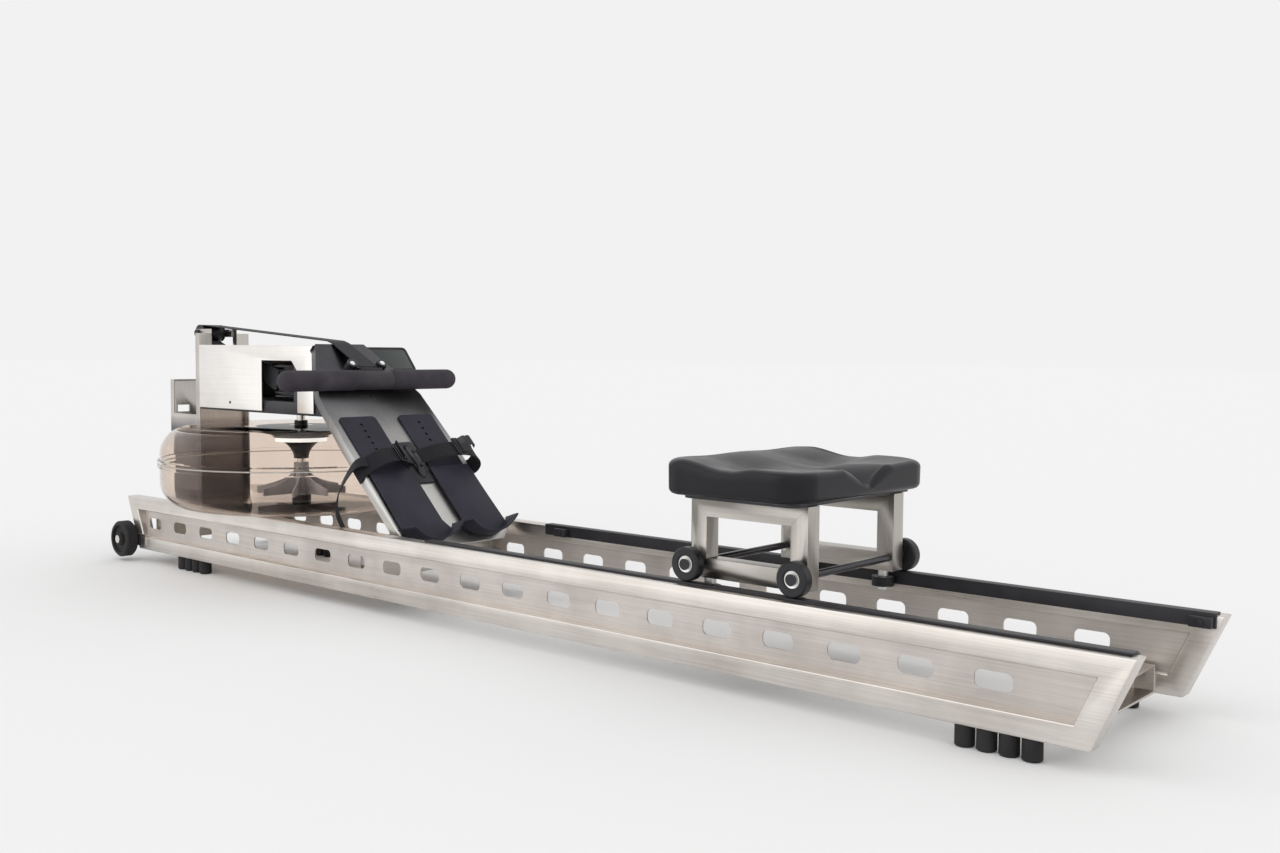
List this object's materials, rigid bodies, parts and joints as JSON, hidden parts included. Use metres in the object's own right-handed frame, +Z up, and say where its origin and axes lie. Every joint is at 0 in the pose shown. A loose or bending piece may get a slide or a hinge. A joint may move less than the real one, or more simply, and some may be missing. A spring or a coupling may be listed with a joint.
{
  "type": "water rowing machine",
  "caption": "Water-resistance rowing machine: slotted steel rails, rolling seat, sloped footboard, clear water tank, strap-driven handle and folded steel head.",
  "frame": {"origin": "middle of the outer box on the floor, under the machine", "axes": "+X along the rails towards the end where the rower slides back, +Y to the side that carries the monitor, +Z up"},
  "size_m": [2.072, 0.522, 0.48],
  "materials": {
    "frame_steel": "brushed stainless steel tube",
    "sheet_steel": "brushed stainless steel sheet",
    "board_steel": "brushed stainless steel sheet, darker in shade",
    "fastener_steel": "bright steel",
    "black_steel": "black powder coat",
    "black_plastic": "fine satin black",
    "dark_plastic": "dark grey",
    "white_plastic": "plain white",
    "pale_plastic": "pale grey",
    "tank_plastic": "clear smoked polycarbonate",
    "gasket": "translucent grey",
    "black_rubber": "matt black",
    "grip_foam": "closed-cell foam",
    "webbing": "black webbing",
    "strap_webbing": "dark grey webbing",
    "elastic_cord": "braided elastic cord",
    "screen": "dull display behind a clear window",
    "seat_urethane": "satin black moulded foam skin"
  },
  "bodies": {
    "frame": {"near_rail_frame": "frame_steel", "far_rail_frame": "frame_steel", "rail_webs": "sheet_steel", "running_tracks": "black_plastic", "track_stops": "black_rubber", "rubber_feet": "black_rubber", "rear_crossmember": "frame_steel", "board_crossmember": "frame_steel", "front_crossmember": "frame_steel", "crossmember_bolts": "fastener_steel", "transport_axles": "fastener_steel", "tank_pads": "black_rubber", "tank_lower_shell": "tank_plastic", "tank_upper_shell": "tank_plastic", "tank_gasket": "gasket", "tank_neck": "dark_plastic", "bearing_ring": "white_plastic", "deck_tray": "black_steel", "tower": "frame_steel", "storage_post": "frame_steel", "pulley_axle": "black_plastic", "steel_cover": "sheet_steel", "footboard": "board_steel", "handle_pegs": "black_plastic", "peg_caps": "pale_plastic", "foot_plates": "black_plastic", "strap_clamp": "black_plastic", "clamp_screws": "fastener_steel", "foot_straps": "webbing", "foot_buckles": "black_plastic", "monitor_arm": "black_plastic", "recoil_cord": "elastic_cord", "rowing_strap": "strap_webbing", "bottom_bearing": "black_plastic"},
    "seat": {"seat_pad": "seat_urethane", "seat_plate": "black_steel", "seat_frames": "frame_steel", "seat_axles": "black_steel", "guide_bolts": "fastener_steel"},
    "front_seat_wheels": {"front_seat_wheels": "black_plastic"},
    "rear_seat_wheels": {"rear_seat_wheels": "black_plastic"},
    "near_front_guide_roller": {"near_front_guide_roller": "black_plastic"},
    "near_rear_guide_roller": {"near_rear_guide_roller": "black_plastic"},
    "far_front_guide_roller": {"far_front_guide_roller": "black_plastic"},
    "far_rear_guide_roller": {"far_rear_guide_roller": "black_plastic"},
    "handle": {"handle_core": "fastener_steel", "handle_grips": "grip_foam", "handle_clamp": "black_plastic"},
    "drive_hub": {"drive_hub": "black_plastic", "hub_strap_winding": "strap_webbing"},
    "top_pulley": {"top_pulley": "black_plastic"},
    "recoil_pulley": {"recoil_pulley": "black_plastic"},
    "paddle": {"paddle": "dark_plastic", "paddle_shaft": "fastener_steel"},
    "near_heel_plate": {"near_heel_plate": "black_plastic"},
    "far_heel_plate": {"far_heel_plate": "black_plastic"},
    "near_transport_wheel": {"near_transport_wheel": "black_rubber"},
    "far_transport_wheel": {"far_transport_wheel": "black_rubber"},
    "monitor": {"monitor_housing": "black_plastic", "monitor_screen": "screen"}
  },
  "joints": [
    {"name": "seat_slide", "type": "slide", "parent": "frame", "child": "seat", "axis": [1, 0, 0], "range_m": [-0.469, 0.388]},
    {"name": "front_seat_wheels_spin", "type": "hinge", "parent": "seat", "child": "front_seat_wheels", "pos_m": [0.444, 0, 0.1548], "axis": [0, 1, 0], "continuous": true},
    {"name": "rear_seat_wheels_spin", "type": "hinge", "parent": "seat", "child": "rear_seat_wheels", "pos_m": [0.611, 0, 0.1548], "axis": [0, 1, 0], "continuous": true},
    {"name": "near_front_guide_roller_spin", "type": "hinge", "parent": "seat", "child": "near_front_guide_roller", "pos_m": [0.461, -0.1093, 0.1195], "axis": [0, 0, 1], "continuous": true},
    {"name": "near_rear_guide_roller_spin", "type": "hinge", "parent": "seat", "child": "near_rear_guide_roller", "pos_m": [0.594, -0.1093, 0.1195], "axis": [0, 0, 1], "continuous": true},
    {"name": "far_front_guide_roller_spin", "type": "hinge", "parent": "seat", "child": "far_front_guide_roller", "pos_m": [0.461, 0.1093, 0.1195], "axis": [0, 0, 1], "continuous": true},
    {"name": "far_rear_guide_roller_spin", "type": "hinge", "parent": "seat", "child": "far_rear_guide_roller", "pos_m": [0.594, 0.1093, 0.1195], "axis": [0, 0, 1], "continuous": true},
    {"name": "handle_pull", "type": "slide", "parent": "frame", "child": "handle", "axis": [1, 0, 0], "range_m": [0, 1.15], "stiffness_N_per_m": 12, "springref_m": -0.5, "deforming": ["rowing_strap"]},
    {"name": "hub_spin", "type": "hinge", "parent": "frame", "child": "drive_hub", "pos_m": [-0.625, 0, 0.371], "axis": [0, 0, 1], "range_deg": [-1545, 0]},
    {"name": "recoil_pulley_spin", "type": "hinge", "parent": "frame", "child": "recoil_pulley", "pos_m": [-0.549, 0, 0.345], "axis": [0, 0, 1], "range_deg": [-3720, 0]},
    {"name": "top_pulley_spin", "type": "hinge", "parent": "frame", "child": "top_pulley", "pos_m": [-0.949, 0, 0.463], "axis": [0, 1, 0], "range_deg": [0, 4100]},
    {"name": "paddle_spin", "type": "hinge", "parent": "frame", "child": "paddle", "pos_m": [-0.625, 0, 0.2], "axis": [0, 0, 1], "continuous": true},
    {"name": "near_heel_slide", "type": "slide", "parent": "frame", "child": "near_heel_plate", "axis": [-0.7193, 0, 0.6947], "range_m": [0, 0.044]},
    {"name": "far_heel_slide", "type": "slide", "parent": "frame", "child": "far_heel_plate", "axis": [-0.7193, 0, 0.6947], "range_m": [0, 0.044]},
    {"name": "near_transport_wheel_spin", "type": "hinge", "parent": "frame", "child": "near_transport_wheel", "pos_m": [-1, -0.168, 0.0435], "axis": [0, 1, 0], "continuous": true},
    {"name": "far_transport_wheel_spin", "type": "hinge", "parent": "frame", "child": "far_transport_wheel", "pos_m": [-1, 0.168, 0.0435], "axis": [0, 1, 0], "continuous": true},
    {"name": "monitor_tilt", "type": "hinge", "parent": "frame", "child": "monitor", "pos_m": [-0.52803, 0.124, 0.4049], "axis": [0, 1, 0], "range_deg": [-15, 15]}
  ],
  "couplings": [
    {"joint": "front_seat_wheels_spin", "follows": "seat_slide", "rad_per_m": 44.444},
    {"joint": "rear_seat_wheels_spin", "follows": "seat_slide", "rad_per_m": 44.444},
    {"joint": "near_front_guide_roller_spin", "follows": "seat_slide", "rad_per_m": -64.516},
    {"joint": "near_rear_guide_roller_spin", "follows": "seat_slide", "rad_per_m": -64.516},
    {"joint": "far_front_guide_roller_spin", "follows": "seat_slide", "rad_per_m": 64.516},
    {"joint": "far_rear_guide_roller_spin", "follows": "seat_slide", "rad_per_m": 64.516},
    {"joint": "hub_spin", "follows": "handle_pull", "rad_per_m": -23.364},
    {"joint": "recoil_pulley_spin", "follows": "handle_pull", "rad_per_m": -56.294},
    {"joint": "top_pulley_spin", "follows": "handle_pull", "rad_per_m": 62.112},
    {"joint": "paddle_spin", "follows": "handle_pull", "rad_per_m": -23.364}
  ]
}
